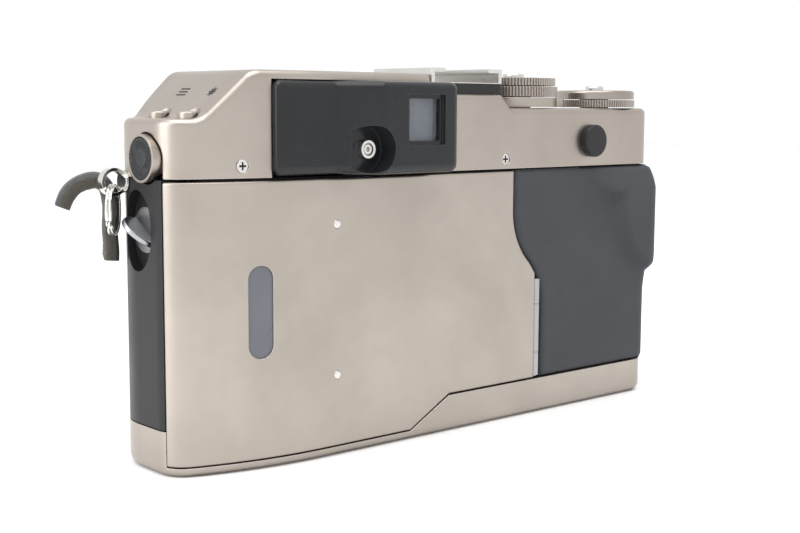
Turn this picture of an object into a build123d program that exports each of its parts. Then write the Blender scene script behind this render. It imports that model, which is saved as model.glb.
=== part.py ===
from build123d import *
import math
import os

# A 35 mm rangefinder-style film camera body, in millimetres.
# +Z is up, the lens side faces -Y, the film door faces +Y, and +X is the cassette end.
# The origin is the mouth of the tripod socket, on the optical axis and at mid thickness.

# ---------------------------------------------------------------- driving dimensions
CASSETTE_END = 56.0            # outer end face on the cassette side
GRIP_END = -75.0               # outer end face on the grip side, under the rubber
REAR = 15.0                    # rear face
FRONT = -15.0                  # front face
SKIN = 1.2                     # wall of the metal covers
UNDER_SKIN = 1.8               # inset at which the chassis begins
GAP = 0.25                     # gap between a moving piece and its neighbour

TOP_SEAM = 55.0                # seam between the top cover and the door
BOTTOM_SEAM = 8.0              # seam above the bottom cover
LOW_SEAM = 2.0                 # seam under the cassette half of the door
LEFT_SEAM = 8.8                # seam under the side panel
TOP_PLATE = 75.0               # top of the raised housing
SHOE_SEAT = 71.0               # top of the housing under the accessory shoe
LEFT_DECK = 66.0               # step beside the dioptre dial
DIAL_DECK = 68.2               # deck that carries the dials

OPTICAL_HEIGHT = 31.0          # height of the lens axis
FILM_PLANE = 9.5
MOUNT_FACE = FILM_PLANE - 29.0
THROAT_RADIUS = 22.0
CONTACT_FACE = -11.8           # front of the block that carries the lens contacts
GATE = (36.0, 24.0)            # picture size

CROWN_START = 25.0             # the rear face curves away from here to the cassette end
CROWN_RADIUS = 80.0
REAR_CORNER = 6.0
FRONT_CORNER = 13.0
GRIP_CORNER = 5.0

HINGE = (-35.6, 14.05)         # door hinge axis in plan
KNUCKLE = 0.95                 # hinge barrel radius
HINGE_PIN = 0.40
HINGE_RUN = 0.05               # running clearance in the door's barrel
HINGE_Z = (8.6, 13.8, 24.8, 30.4)

SPEED_DIAL = (-38.0, 4.0)      # centre of the stacked dials
SHUTTER_DIAL = (-64.5, 5.4)    # centre of the large dial round the release
DIOPTRE = (2.3, 58.8)          # centre of the dioptre dial, Y and Z
DIOPTRE_RADIUS = 4.45
REMOTE = (-52.5, 60.8)         # centre of the remote socket, X and Z
SYNC = (17.7, 60.2)            # centre of the flash socket, X and Z
LATCH = (-1.7, 45.3)           # centre of the door key, Y and Z
LATCH_SWEEP = 7.6              # room round the key's spindle for the arm behind the panel
LUG_EYE = (58.2, -6.2, 54.2)   # centre of the strap lug's hole
SHOE_X = -14.25                # centre of the accessory shoe

CASSETTE = (39.0, -0.6)        # chamber axes in plan
SPOOL = (-30.8, -3.5)
SPROCKET = (-23.2, 4.8)
MOTOR = (-47.8, -3.5)
BATTERIES = ((-62.2, -4.0), (-46.6, -4.0))
BATTERY_BAY = 8.0              # radius of the bay and of the hole in the bottom cover
GEAR_Z = (56.0, 57.4)
GEAR_MODULE = 0.5
TEETH = {"spool_gear": 24, "idler_gear": 16, "motor_pinion": 12, "sprocket_gear": 21}

BOTTOM_SCREWS = ((48.0, -9.0), (48.0, 7.0), (-26.0, -11.0), (-68.0, 9.5), (15.0, 11.5))
COVER_SCREWS = ((42.3, 57.4, 13.15), (-24.8, 57.2, 14.75))   # X, Z and the height of the head in Y
RIVETS = ((21.7, 45.8), (21.7, 16.2))
AF_WINDOWS = (-8.0, 32.0)      # centres of the two focusing windows
DISPLAY = (-62.0, -44.0, -12.5, -7.0)
BUTTON_X = 49.9
BUTTON_RADIUS = 1.9
BUTTONS = {"drive_button": -3.2, "iso_button": 6.7}
RELEASE = (-32.5, 17.0)        # centre of the lens release, X and Z
LOCK_PIN_ANGLE = 210.0         # place of the lens lock pin round the mount
MOUNT_SCREW_ANGLES = (20, 92, 164, 250, 308)
MOUNT_SCREW_CIRCLE = 23.8

SPEED_POST = 4.0               # radius of the post inside the stacked dials
SHUTTER_POST = 3.4
LOCK_BUTTON = 2.5
RELEASE_BUTTON = 2.2
SLEEVE_GAP = 0.4               # gap between a button and the dial it stands through

EYEPIECE = (1.1, 9.2, 61.7, 69.9)          # window opening, X and Z
FILM_WINDOW = (38.9, 21.3, 38.9, 5.1)      # X, lower and upper end, width
RING_RADIUS = 4.5
RING_WIRE = 0.65
STRAP_HALF = 1.15              # half the thickness of the leather
STRAP_WIDTH = 10.3
STRAP_PLACE = (57.6, -8.0, -27.0)          # X and Y of the inner edge, and the turn about Z
STRAP_MIDDLE = (
    (8.9, 49.0), (8.0, 51.3), (6.2, 53.3), (3.9, 54.4), (1.9, 54.2),
    (0.5, 52.4), (-0.1, 48.8), (0.2, 45.3), (0.0, 41.7), (0.1, 39.0))

os.makedirs("parts", exist_ok=True)


# ---------------------------------------------------------------- helpers
def block(x0, x1, y0, y1, z0, z1):
    centre = ((x0 + x1) / 2, (y0 + y1) / 2, (z0 + z1) / 2)
    return Pos(*centre) * Box(x1 - x0, y1 - y0, z1 - z0)


def rod_x(radius, x0, x1, y, z):
    return Pos((x0 + x1) / 2, y, z) * Rot(0, 90, 0) * Cylinder(radius, x1 - x0)


def rod_y(radius, y0, y1, x, z):
    return Pos(x, (y0 + y1) / 2, z) * Rot(90, 0, 0) * Cylinder(radius, y1 - y0)


def rod_z(radius, z0, z1, x, y):
    return Pos(x, y, (z0 + z1) / 2) * Cylinder(radius, z1 - z0)


def fuse(pieces):
    total = pieces[0]
    for piece in pieces[1:]:
        total = total + piece
    return total


def group(pieces):
    """Separate solids that share one node."""
    return Compound(children=[solid for piece in pieces for solid in piece.solids()])


def plan_outline(inset):
    """The body's outline seen from above, moved inwards by inset."""
    turn = math.degrees(math.asin(
        (CASSETTE_END - REAR_CORNER - CROWN_START) / (CROWN_RADIUS - REAR_CORNER)))
    crown_y = REAR - CROWN_RADIUS
    corner_y = crown_y + (CROWN_RADIUS - REAR_CORNER) * math.cos(math.radians(turn))
    corner_x = CASSETTE_END - REAR_CORNER
    front_x = CASSETTE_END - FRONT_CORNER
    front_y = FRONT + FRONT_CORNER
    grip_x = GRIP_END + GRIP_CORNER
    edges = [
        Line((grip_x, REAR - inset), (CROWN_START, REAR - inset)),
        CenterArc((CROWN_START, crown_y), CROWN_RADIUS - inset, 90, -turn),
        CenterArc((corner_x, corner_y), REAR_CORNER - inset, 90 - turn, turn - 90),
        Line((CASSETTE_END - inset, corner_y), (CASSETTE_END - inset, front_y)),
        CenterArc((front_x, front_y), FRONT_CORNER - inset, 0, -90),
        Line((front_x, FRONT + inset), (grip_x, FRONT + inset)),
        CenterArc((grip_x, FRONT + GRIP_CORNER), GRIP_CORNER - inset, 270, -90),
        Line((GRIP_END + inset, FRONT + GRIP_CORNER), (GRIP_END + inset, REAR - GRIP_CORNER)),
        CenterArc((grip_x, REAR - GRIP_CORNER), GRIP_CORNER - inset, 180, -90),
    ]
    return Face(Wire(edges))


def prism(inset, z0, z1):
    return Pos(0, 0, z0) * extrude(plan_outline(inset), amount=z1 - z0, dir=(0, 0, 1))


def wall(outer, inner, z0, z1):
    return prism(outer, z0, z1) - prism(inner, z0 - 1, z1 + 1)


def side_prism(points, y0, y1, radii=None):
    """A prism along Y from a side elevation given as (x, z) points."""
    flat = Polyline(*[(x, z) for x, z in points], close=True)
    face = make_face(flat)
    if radii:
        for (x, z), radius in radii.items():
            corner = [v for v in face.vertices() if abs(v.X - x) < 0.01 and abs(v.Y - z) < 0.01]
            face = fillet(corner, radius)
    solid = extrude(face, amount=y1 - y0, dir=(0, 0, 1))
    return Pos(0, y1, 0) * Rot(90, 0, 0) * solid


def slot_prism(x, z0, z1, width, y0, y1):
    """An upright slot with round ends, cut along Y."""
    half = width / 2
    return fuse([
        block(x - half, x + half, y0, y1, z0 + half, z1 - half),
        rod_y(half, y0, y1, x, z0 + half),
        rod_y(half, y0, y1, x, z1 - half),
    ])


def s_region(shift, side, y0, y1, z0, z1):
    """Everything on one side of the S-shaped edge between the door and the rubber."""
    top_x, low_x = -27.4 + shift, -36.7 + shift
    top_z, low_z = 46.0, 24.0
    radius = ((top_x - low_x) ** 2 + (top_z - low_z) ** 2) / (4 * (top_x - low_x))
    mid = ((top_x + low_x) / 2, (top_z + low_z) / 2)
    sweep = math.asin((top_z - low_z) / 2 / radius) / 2
    bow = radius * (1 - math.cos(sweep))
    rise = radius * math.sin(sweep)
    far = 70.0 if side == "cassette" else -90.0
    edges = [
        Line((far, z1), (top_x, z1)),
        Line((top_x, z1), (top_x, top_z)),
        ThreePointArc((top_x, top_z), (top_x - bow, top_z - rise), mid),
        ThreePointArc(mid, (low_x + bow, low_z + rise), (low_x, low_z)),
        Line((low_x, low_z), (low_x, z0)),
        Line((low_x, z0), (far, z0)),
        Line((far, z0), (far, z1)),
    ]
    solid = extrude(Face(Wire(edges)), amount=y1 - y0, dir=(0, 0, 1))
    return Pos(0, y1, 0) * Rot(90, 0, 0) * solid


def gear(teeth, bore, z0, z1, centre, phase=0.0):
    """A spur gear whose first tooth points phase degrees round from +X."""
    pitch_r = GEAR_MODULE * teeth / 2
    tip_r = pitch_r + 0.85 * GEAR_MODULE
    root_r = pitch_r - 1.15 * GEAR_MODULE
    step = 360 / teeth
    points = []
    for tooth in range(teeth):
        middle = phase + tooth * step
        for radius, offset in ((root_r, -0.30), (tip_r, -0.12), (tip_r, 0.12), (root_r, 0.30)):
            angle = math.radians(middle + offset * step)
            points.append((radius * math.cos(angle), radius * math.sin(angle)))
    solid = extrude(make_face(Polyline(*points, close=True)), amount=z1 - z0)
    solid = Pos(centre[0], centre[1], z0) * solid
    return solid - rod_z(bore, z0 - 1, z1 + 1, *centre)


def knurled(radius, depth, count, z0, z1, centre):
    """A disc with V-shaped flutes round its edge."""
    points = []
    for flute in range(count):
        for radial, part in ((radius, 0.0), (radius, 0.45), (radius - depth, 0.72)):
            angle = 2 * math.pi * (flute + part) / count
            points.append((radial * math.cos(angle), radial * math.sin(angle)))
    solid = extrude(make_face(Polyline(*points, close=True)), amount=z1 - z0)
    return Pos(centre[0], centre[1], z0) * solid


def cross_screw(x, y0, y1, z, radius):
    """A small cross-head screw whose head faces +Y at y1."""
    screw = rod_y(radius, y1 - 0.9, y1, x, z) + rod_y(radius * 0.5, y0, y1 - 0.9, x, z)
    arm = radius * 0.62
    slot = radius * 0.16
    screw = screw - block(x - arm, x + arm, y1 - 0.4, y1 + 1, z - slot, z + slot)
    return screw - block(x - slot, x + slot, y1 - 0.4, y1 + 1, z - arm, z + arm)


def write(node, solid):
    export_step(solid, "parts/" + node + ".step")


# ---------------------------------------------------------------- fixed structure
def latch_pocket():
    return block(49.5, 57.0, -6.5, 14.0, 36.0, 55.5)


def chassis():
    body = prism(UNDER_SKIN, SKIN, TOP_SEAM - 0.1)
    body -= block(HINGE[0] + 0.9, 60, 11.4, 16, 0, 60)
    body -= block(-34.3, 51.8, 9.0, 16, 9.5, 52.5)
    body -= rod_y(THROAT_RADIUS + 0.3, -16, -6, 0, OPTICAL_HEIGHT)
    body -= block(-19.6, 19.6, -6.5, 4.6, 15.5, 46.5)
    body -= block(-GATE[0] / 2, GATE[0] / 2, 4, 10, OPTICAL_HEIGHT - 12, OPTICAL_HEIGHT + 12)
    body -= rod_z(12.6, 3.0, 53.0, *CASSETTE)
    body -= block(CASSETTE[0] - 12.4, CASSETTE[0] + 12.4, CASSETTE[1], 12, 3.0, 53.0)
    body -= rod_z(7.2, 8.0, 53.0, *SPOOL)
    body -= block(-34.0, SPOOL[0] + 6, SPOOL[1], 10, 9.5, 52.5)
    body -= rod_z(4.9, 11.0, 51.0, *SPROCKET)
    body -= rod_z(2.05, 50, 56, *SPOOL)
    body -= rod_z(1.05, 50, 56, *SPROCKET)
    body -= rod_z(2.05, 52, 56, *CASSETTE)
    body -= battery_space(0, 33.0)
    body -= rod_z(6.6, 35.0, 56, *MOTOR)
    body -= rod_z(4.8, 0, 7.2, 0, 0)
    body -= rod_z(1.3, 6, HINGE_Z[3] + 0.6, *HINGE)
    body -= rod_x(1.5, 50.0, 60, LUG_EYE[1], LUG_EYE[2])
    body -= latch_pocket()
    body -= rod_y(3.3, -14, -12.6, *RELEASE)
    body -= rod_y(1.1, -14, -12.4, *lock_pin_place())
    return fuse([body, idler_stud(), contact_block()] + film_rails())


def battery_space(z0, z1, radius=BATTERY_BAY):
    (left_x, y), (right_x, _) = BATTERIES
    return fuse([
        rod_z(radius, z0, z1, left_x, y),
        rod_z(radius, z0, z1, right_x, y),
        block(left_x, right_x, y - radius, y + radius, z0, z1),
    ])


def film_rails():
    rails = []
    for z0, z1, height in ((13.4, 14.9, 9.7), (16.2, 17.4, FILM_PLANE)):
        rails.append(block(-18.0, 22, 9.0, height, z0, z1))
        rails.append(block(-18.0, 22, 9.0, height, 2 * OPTICAL_HEIGHT - z1, 2 * OPTICAL_HEIGHT - z0))
    return rails


def shutter():
    frame = block(-18.8, 18.8, 1.5, 3.7, 15.6, 46.4)
    blades = [frame - block(-18.2, 18.2, 0, 5, 18.6, 43.4)]
    for row in range(4):
        low = 18.0 + row * 6.3
        y0 = 1.7 + 0.4 * row
        blades.append(block(-18.1, 18.1, y0, y0 + 0.3, low + 0.7, min(low + 7.6, 43.3)))
    return group(blades)


def bottom_cover():
    cover = prism(0, 0, LEFT_SEAM - 0.2)
    cover = fillet(cover.faces().sort_by(Axis.Z)[0].edges(), 2.0)
    cover -= prism(SKIN, SKIN, 20)
    rear = [(80, LOW_SEAM - 0.15), (2.4, LOW_SEAM - 0.15), (-8.5, BOTTOM_SEAM - 0.15),
            (-90, BOTTOM_SEAM - 0.15), (-90, 30), (80, 30)]
    cover -= side_prism(rear, 6.8, 30)
    cover -= block(-90, 48, -30, 6.9, BOTTOM_SEAM - 0.15, 30)
    cover -= block(40, 80, -30, -7.0, BOTTOM_SEAM - 0.15, 30)
    cover -= rod_z(4.8, -1, 3, 0, 0)
    cover -= battery_space(-1, 3)
    taper = side_prism([(-80, -1), (-73.4, -1), (-73.4, 0), (-75.05, 6.8), (-80, 6.8)], -30, 30)
    cover -= taper
    cover -= rod_y(THROAT_RADIUS + 1.6, -30, -10, 0, OPTICAL_HEIGHT)
    for x, y in BOTTOM_SCREWS:
        cover -= rod_z(1.1, -1, 3, x, y)
    return cover


def bottom_screws():
    screws = []
    for x, y in BOTTOM_SCREWS:
        screw = rod_z(1.1, 0.05, SKIN, x, y)
        screw -= block(x - 0.7, x + 0.7, y - 0.17, y + 0.17, 0, 0.45)
        screw -= block(x - 0.17, x + 0.17, y - 0.7, y + 0.7, 0, 0.45)
        screws.append(screw)
    return screws


def tripod_socket():
    socket = rod_z(4.8, 0, 7.2, 0, 0)
    socket = chamfer(socket.faces().sort_by(Axis.Z)[0].edges(), 0.3)
    return socket - rod_z(2.55, -1, 6.2, 0, 0)


def top_cover():
    profile = [
        (CASSETTE_END + 5, TOP_SEAM + 0.15), (CASSETTE_END + 5, LEFT_DECK), (49.6, LEFT_DECK),
        (40.2, TOP_PLATE), (-2.6, TOP_PLATE), (-3.4, SHOE_SEAT), (-23.6, SHOE_SEAT),
        (-26.4, DIAL_DECK), (GRIP_END - 5, DIAL_DECK), (GRIP_END - 5, TOP_SEAM + 0.15)]
    rounds = {(49.6, LEFT_DECK): 4.0, (40.2, TOP_PLATE): 4.0, (-2.6, TOP_PLATE): 0.6,
              (-3.4, SHOE_SEAT): 0.6, (-23.6, SHOE_SEAT): 1.0, (-26.4, DIAL_DECK): 1.5}
    shell = side_prism(profile, -20, 20, rounds) & prism(0, 50, 80)
    rim = [e for e in shell.edges() if e.center().Z > 60 and not is_upright(e)
           and on_boundary(e)]
    shell = fillet(rim, 1.3)
    solid = shell
    inner = [
        (70, 50), (70, LEFT_DECK - SKIN), (49.0, LEFT_DECK - SKIN), (39.6, TOP_PLATE - SKIN),
        (-1.4, TOP_PLATE - SKIN), (-2.2, SHOE_SEAT - SKIN), (-23.0, SHOE_SEAT - SKIN),
        (-25.8, DIAL_DECK - SKIN), (-90, DIAL_DECK - SKIN), (-90, 50)]
    shell -= side_prism(inner, -20, 20) & prism(SKIN, 50, 80)
    shell -= block(-4.0, 36.5, 12, 20, 50, 73.3)
    y, z = DIOPTRE
    well = DIOPTRE_RADIUS + 0.35
    shell += block(50.6, 55.0, y - well - 0.4, y + well + 0.4, TOP_SEAM + 0.15, z + 5.4) & prism(0.6, 50, 80)
    shell -= rod_x(1.45, 40, 60, *DIOPTRE)
    shell -= rod_x(well, 54.3, 60, *DIOPTRE)
    shell -= block(54.3, 60, y - well, y + well, 50, z)
    shell -= rod_y(2.6, 10, 20, *REMOTE)
    for x, z, _ in COVER_SCREWS:
        shell -= rod_y(1.25, 10, 20, x, z)
    shell -= rod_z(SPEED_POST, 60, 80, *SPEED_DIAL)
    shell -= rod_z(SHUTTER_POST, 60, 80, *SHUTTER_DIAL)
    shell -= finder_opening(-20, -10)
    for x in AF_WINDOWS:
        shell -= block(x - 3.5, x + 3.5, -20, -10, 59.0, 66.0)
    shell -= block(*DISPLAY, 60, 80)
    for y in BUTTONS.values():
        shell += rod_z(BUTTON_RADIUS + 1.5, 62.5, 72, BUTTON_X, y) & solid
    for y in BUTTONS.values():
        shell -= rod_z(BUTTON_RADIUS + 0.1, 58, 80, BUTTON_X, y)
        shell -= rod_z(BUTTON_RADIUS + 0.5, LEFT_DECK - 0.1, 80, BUTTON_X, y)
    shell -= lug_hole()
    return shell


def is_upright(edge):
    box = edge.bounding_box()
    return box.size.Z > 0.5 and box.size.X < 0.01 and box.size.Y < 0.01


def on_boundary(edge):
    """True for an edge that lies on the outline seen from above."""
    box = edge.bounding_box()
    along_y = box.size.Y > 20 and abs(edge.center().Y) < 3
    across = along_y and GRIP_END + 1 < edge.center().X < CASSETTE_END - 1
    return not across


def finder_opening(y0, y1):
    return block(7.0, 19.0, y0, y1, 61.0, 70.5)


def lug_hole():
    return rod_x(1.5, 50, 60, LUG_EYE[1], LUG_EYE[2])


def front_cover():
    cover = wall(0, SKIN, BOTTOM_SEAM + 0.1, TOP_SEAM - 0.1)
    cover -= block(-90, 90, -7.2, 30, 0, 80)
    boss = rod_y(27.0, FRONT - 1.2, FRONT + 0.5, 0, OPTICAL_HEIGHT)
    boss &= block(-60, 60, -30, 0, BOTTOM_SEAM + 0.1, TOP_SEAM - 0.1)
    cover += boss
    cover -= rod_y(THROAT_RADIUS + 1.6, -30, -10, 0, OPTICAL_HEIGHT)
    cover -= rod_y(3.2, -30, -10, *RELEASE)
    cover -= rod_y(0.95, -30, -10, *lock_pin_place())
    cover -= lug_hole()
    cover -= block(-80, -44.0, FRONT - 1, FRONT + SKIN + 1, BOTTOM_SEAM + 0.9, 53.5)
    return cover


def mount_ring():
    ring = rod_y(25.6, MOUNT_FACE, FRONT - 1.2, 0, OPTICAL_HEIGHT)
    ring += rod_y(THROAT_RADIUS + 1.6, FRONT - 1.4, FRONT + UNDER_SKIN, 0, OPTICAL_HEIGHT)
    ring -= rod_y(THROAT_RADIUS, -30, 0, 0, OPTICAL_HEIGHT)
    for x, z in mount_screw_places():
        ring -= rod_y(0.9, MOUNT_FACE - 1, MOUNT_FACE + 1.2, x, z)
    ring -= rod_y(0.95, -30, 0, *lock_pin_place())
    return ring


def round_mount(radius, degrees):
    """X and Z of a point round the lens axis."""
    angle = math.radians(degrees)
    return (radius * math.cos(angle), OPTICAL_HEIGHT + radius * math.sin(angle))


def lock_pin_place():
    return round_mount(MOUNT_SCREW_CIRCLE, LOCK_PIN_ANGLE)


def mount_screw_places():
    return [round_mount(MOUNT_SCREW_CIRCLE, turn) for turn in MOUNT_SCREW_ANGLES]


def mount_screws():
    screws = []
    for x, z in mount_screw_places():
        screw = rod_y(0.9, MOUNT_FACE + 0.05, MOUNT_FACE + 1.2, x, z)
        screw -= block(x - 0.6, x + 0.6, -30, MOUNT_FACE + 0.4, z - 0.12, z + 0.12)
        screw -= block(x - 0.12, x + 0.12, -30, MOUNT_FACE + 0.4, z - 0.6, z + 0.6)
        screws.append(screw)
    return group(screws)


def gold_contacts():
    """The spring pins that meet the lens and the studs in the accessory shoe."""
    contacts = [rod_z(1.0, 73.2, 73.5, x, y) for x, y in shoe_contact_places()]
    for step in range(8):
        x, z = round_mount(20.4, 256 + 4 * step)
        contacts.append(rod_y(0.45, CONTACT_FACE - 0.9, CONTACT_FACE, x, z))
    return group(contacts)


def contact_block():
    ring = rod_y(THROAT_RADIUS + 0.5, CONTACT_FACE, CONTACT_FACE + 2, 0, OPTICAL_HEIGHT)
    ring -= rod_y(18.6, -30, 0, 0, OPTICAL_HEIGHT)
    return ring & block(-7.5, 7.5, -20, 0, 0, OPTICAL_HEIGHT - 10)


def side_panel():
    panel = wall(0.1, UNDER_SKIN, LEFT_SEAM, TOP_SEAM - 0.1) & block(40, 60, -6.9, 6.6, 0, 60)
    back = block(49.5, 52.6, -6.4, 6.4, 36.2, 54.8)
    panel = panel + (back + block(51, 55, -6.4, 6.4, 36.2, 54.8))
    dish = extrude(Ellipse(7.6, 5.1), amount=3.2, both=True)
    panel -= Pos(56.6, LATCH[0], LATCH[1]) * Rot(0, 90, 0) * dish
    panel -= rod_x(2.0, 45, 60, *LATCH)
    panel -= rod_x(DIOPTRE_RADIUS + 0.35, 54.0, 60, *DIOPTRE)
    panel -= lug_hole()
    panel -= rod_x(LATCH_SWEEP, 49, 53.0, *LATCH)
    return panel


def rear_grip():
    outline = make_face(Polyline(
        (-20, -10), (-20, REAR), (-41, REAR), (-70, REAR + 2.1), (GRIP_END - 2.0, REAR + 2.1),
        (GRIP_END - 2.0, -6.0), (GRIP_END + 6, -6.0), close=True))
    corner = [v for v in outline.vertices() if v.X < GRIP_END and v.Y > 15]
    outline = fillet(corner, 4.5)
    rubber = Pos(0, 0, BOTTOM_SEAM) * extrude(outline, amount=TOP_SEAM - 0.15 - BOTTOM_SEAM)
    ends = [e for e in rubber.edges() if e.center().X < GRIP_END - 1.9 and not is_upright(e)]
    rubber = fillet(ends, 1.2)
    rubber &= s_region(-0.45, "grip", -20, 30, BOTTOM_SEAM, TOP_SEAM)
    rubber -= prism(UNDER_SKIN, 0, 80)
    rubber -= block(-80, -60, -30, -5.9, 0, 80)
    rubber -= rod_z(KNUCKLE + 0.7, 0, HINGE_Z[3] + 0.4, *HINGE)
    rubber -= block(HINGE[0] - 3.2, -20, 10, 30, 0, HINGE_Z[3] + 0.4) & s_region(
        3.0, "cassette", -20, 30, 0, HINGE_Z[3] + 0.4)
    rubber -= block(-41.0, HINGE[0], 13.0, 13.75, HINGE_Z[0] - 0.1, HINGE_Z[3] + 0.1)
    return rubber


def front_grip():
    outline = make_face(Polyline(
        (-44.1, FRONT + SKIN), (-44.1, FRONT - 0.6), (-50, FRONT - 4.4), (-60, FRONT - 5.0),
        (-73.8, FRONT - 1.0), (-73.8, FRONT + SKIN), close=True))
    outline = fillet([v for v in outline.vertices() if v.Y < FRONT - 2], 4.0)
    rubber = Pos(0, 0, BOTTOM_SEAM + 1.0) * extrude(outline, amount=52.4 - BOTTOM_SEAM)
    return rubber & (prism(0.0, 0, 80) + block(-73.8, -44, -30, FRONT + 0.2, 0, 80))


def eyepiece_housing():
    outline = make_face(Polyline(
        (36.4, 13.8), (36.4, 15.7), (22.4, 16.2), (16.4, 22.5), (-3.9, 22.5), (-3.9, 13.8),
        close=True))
    rounds = {(22.4, 16.2): 2.0, (16.4, 22.5): 2.5, (-3.9, 22.5): 2.0, (36.4, 15.7): 0.8}
    for (x, y), radius in rounds.items():
        corner = [v for v in outline.vertices() if abs(v.X - x) < 0.01 and abs(v.Y - y) < 0.01]
        outline = fillet(corner, radius)
    housing = Pos(0, 0, 55.4) * extrude(outline, amount=73.2 - 55.4)
    rim = [e for e in housing.edges() if e.center().Y > 15.2 and not is_upright(e)]
    housing = fillet(rim, 1.6)
    x0, x1, z0, z1 = EYEPIECE
    housing -= block(x0, x1, 12, 25, z0, z1)
    housing -= block(x0 - 0.8, x1 + 0.8, 21.7, 25, z0 - 0.8, z1 + 0.8)
    housing -= rod_y(4.5, 18.0, 30, *SYNC)
    housing -= rod_y(1.75, 10, 30, *SYNC)
    housing -= block(11.5, 34.8, 12, 14.6, 56.2, 72.0)
    return housing


def eyepiece_glass():
    x0, x1, z0, z1 = EYEPIECE
    return block(x0, x1, 19.4, 20.6, z0, z1)


def finder_block():
    tunnel = block(0.0, 20.4, -13.6, 13.6, 59.6, 72.4)
    tunnel -= block(1.6, 8.7, -14, 14, 62.2, 69.4)
    tunnel -= block(8.0, 18.4, -14, -4, 61.6, 69.9)
    return tunnel


def cover_windows():
    """The panes of the finder, the two focusing windows and the display on the deck."""
    panes = [finder_opening(FRONT + 0.25, FRONT + SKIN)]
    for x in AF_WINDOWS:
        panes.append(block(x - 3.5, x + 3.5, FRONT + 0.25, FRONT + SKIN, 59.0, 66.0))
    panes.append(block(*DISPLAY, DIAL_DECK - SKIN, DIAL_DECK - 0.15))
    return group(panes)


def shoe_base():
    base = block(SHOE_X - 10.2, SHOE_X + 10.2, -5.0, 13.8, SHOE_SEAT, 73.2)
    return fillet([e for e in base.edges() if is_upright(e)], 0.8)


def shoe_rails():
    rails = block(SHOE_X - 10.2, SHOE_X + 10.2, -4.6, 13.6, 73.2, 76.3)
    rails -= block(SHOE_X - 9.3, SHOE_X + 9.3, -3.7, 20, 73.4, 75.45)
    rails -= block(SHOE_X - 6.3, SHOE_X + 6.3, -3.7, 20, 73.4, 80)
    for x, y in shoe_contact_places():
        rails -= rod_z(1.3, 73, 75, x, y)
    return rails


def shoe_contact_places():
    return ((SHOE_X, 4.5), (SHOE_X - 4.4, 0.4), (SHOE_X + 4.4, 0.4), (SHOE_X + 4.4, 5.0))


def sync_terminal():
    outer = rod_y(1.75, 14.6, 19.6, *SYNC) - rod_y(1.2, 17.6, 30, *SYNC)
    centre = rod_y(0.95, 17.4, 19.4, *SYNC) - rod_y(0.45, 18.2, 30, *SYNC)
    return outer + centre


def remote_socket():
    socket = rod_y(2.6, 9.0, 14.9, *REMOTE) - rod_y(1.9, 11.0, 20, *REMOTE)
    return socket + rod_y(0.5, 10.5, 13.4, *REMOTE)


def cover_screws():
    screws = bottom_screws()
    for x, z, head in COVER_SCREWS:
        screws.append(cross_screw(x, 11.5, head, z, 1.22))
    return group(screws)


def strap_lugs():
    """The eye at the cassette end and the eye at the grip end."""
    eye_x, eye_y, eye_z = LUG_EYE
    collar = rod_x(2.1, 52.0, 56.1, eye_y, eye_z) - prism(-0.02, 40, 70)
    left = rod_x(1.5, 50.0, 57.0, eye_y, eye_z) + collar
    left += rod_y(2.65, eye_y - 0.8, eye_y + 0.8, eye_x, eye_z)
    left -= rod_y(2.0, eye_y - 5, eye_y + 5, eye_x, eye_z)
    return group([left, grip_lug()])


def grip_lug():
    lug = block(-78.0, GRIP_END, -9.8, -8.2, 46.5, 50.5) + rod_y(2.5, -9.8, -8.2, -78.0, 48.5)
    return lug - rod_y(1.5, -12, 0, -78.0, 48.5)


def circuit_board():
    board = block(24, 47.5, -12.3, 9.8, 57.6, 58.8)
    board += block(27, 34, -9, -2, 58.8, 60.2) + block(27, 32, 1, 6, 58.8, 60.0)
    return board - rod_z(2.6, 50, 70, *CASSETTE)


def drive_motor():
    return rod_z(6.5, 35.0, 53.8, *MOTOR)


def batteries():
    cells = []
    for x, y in BATTERIES:
        cells.append(rod_z(7.6, 3.0, 30.0, x, y) + rod_z(2.5, 30.0, 31.0, x, y))
    return group(cells)


def dial_posts():
    speed = rod_z(SPEED_POST, 62.0, 74.0, *SPEED_DIAL)
    speed -= rod_z(LOCK_BUTTON + 0.05, 64.0, 80, *SPEED_DIAL)
    shutter_post = rod_z(SHUTTER_POST, 60.5, 71.6, *SHUTTER_DIAL)
    shutter_post -= rod_z(RELEASE_BUTTON + 0.05, 62.0, 80, *SHUTTER_DIAL)
    return group([speed, shutter_post])


def hinge_leaf():
    leaf = block(-40.9, HINGE[0] - 0.2, 13.2, 13.7, HINGE_Z[0], HINGE_Z[3])
    leaf -= rod_z(KNUCKLE + 0.25, HINGE_Z[1] - 0.2, HINGE_Z[2] + 0.2, *HINGE)
    for z0, z1 in ((HINGE_Z[0], HINGE_Z[1]), (HINGE_Z[2], HINGE_Z[3])):
        leaf += rod_z(KNUCKLE, z0, z1, *HINGE)
    return leaf - rod_z(HINGE_PIN, 0, 40, *HINGE)


def hinge_pin():
    return rod_z(HINGE_PIN, HINGE_Z[0] - 0.3, HINGE_Z[3], *HINGE)


# ---------------------------------------------------------------- film door
def door_skin():
    region = s_region(0, "cassette", -20, 30, LOW_SEAM, TOP_SEAM - 0.35)
    low = [(90, LOW_SEAM), (2.3, LOW_SEAM), (-8.6, BOTTOM_SEAM + 0.1), (-90, BOTTOM_SEAM + 0.1),
           (-90, -5), (90, -5)]
    skin = prism(0, 0, 60) & region
    skin -= side_prism(low, -30, 30)
    skin -= block(-90, 90, -30, 7.0, 0, 60)
    skin -= block(-90, HINGE[0] + 1.0, 0, 30, 0, 60)
    rim = [e for e in skin.edges() if on_outer_face(e)]
    skin = fillet(rim, 0.5)
    skin -= prism(SKIN, -5, 90)
    skin -= slot_prism(*FILM_WINDOW, 5, 20)
    for x, z in RIVETS:
        skin -= rod_y(0.85, 10, 20, x, z)
    return skin


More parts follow.
